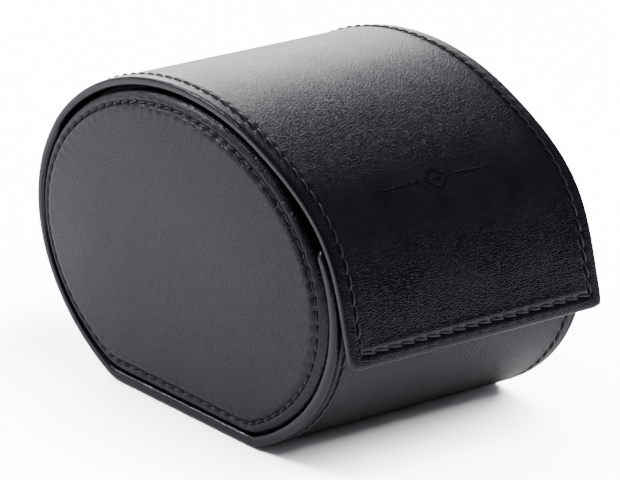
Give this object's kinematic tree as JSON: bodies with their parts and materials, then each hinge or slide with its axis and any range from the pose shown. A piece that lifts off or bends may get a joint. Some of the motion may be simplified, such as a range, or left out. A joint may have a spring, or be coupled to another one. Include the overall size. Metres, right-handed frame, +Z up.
{
  "type": "watch box",
  "caption": "Oval leather-covered box for a single wristwatch: curved lid on a living leather hinge, front flap held by hidden magnets, padded end panels and a lift-out watch cushion.",
  "frame": {"origin": "on the table, under the middle of the oval and midway between the two rims", "axes": "+X along the hinge line, to the right of a person facing the flap; the front flap is towards -Y; +Z up"},
  "size_m": [0.067, 0.1108, 0.0705],
  "materials": {
    "black_leather": "fine grain, satin",
    "grey_suede": "short soft nap",
    "board": "pressed fibre",
    "card": "smooth",
    "foam": "open-cell foam",
    "magnet": "nickel plated",
    "steel_plate": "zinc plated"
  },
  "bodies": {
    "base": {"base_leather": "black_leather", "base_board": "board", "base_lining": "grey_suede", "hinge_leather": "black_leather", "hinge_lining": "grey_suede", "catch_plates": "steel_plate", "left_end_board": "board", "left_end_card": "card", "left_end_foam": "foam", "left_end_leather": "black_leather", "left_end_lining": "grey_suede", "right_end_board": "board", "right_end_card": "card", "right_end_foam": "foam", "right_end_leather": "black_leather", "right_end_lining": "grey_suede"},
    "lid": {"lid_leather": "black_leather", "lid_board": "board", "lid_lining": "grey_suede", "lid_magnets": "magnet"},
    "cushion": {"cushion_core": "foam", "cushion_cover": "grey_suede", "cushion_left_cap": "grey_suede", "cushion_right_cap": "grey_suede"}
  },
  "joints": [
    {"name": "lid_hinge", "type": "hinge", "parent": "base", "child": "lid", "pos_m": [0, 0.04547, 0.05175], "axis": [-1, 0, 0], "range_deg": [0, 110]},
    {"name": "cushion_lift", "type": "slide", "parent": "base", "child": "cushion", "axis": [0, 0, 1], "range_m": [0, 0.018]}
  ]
}
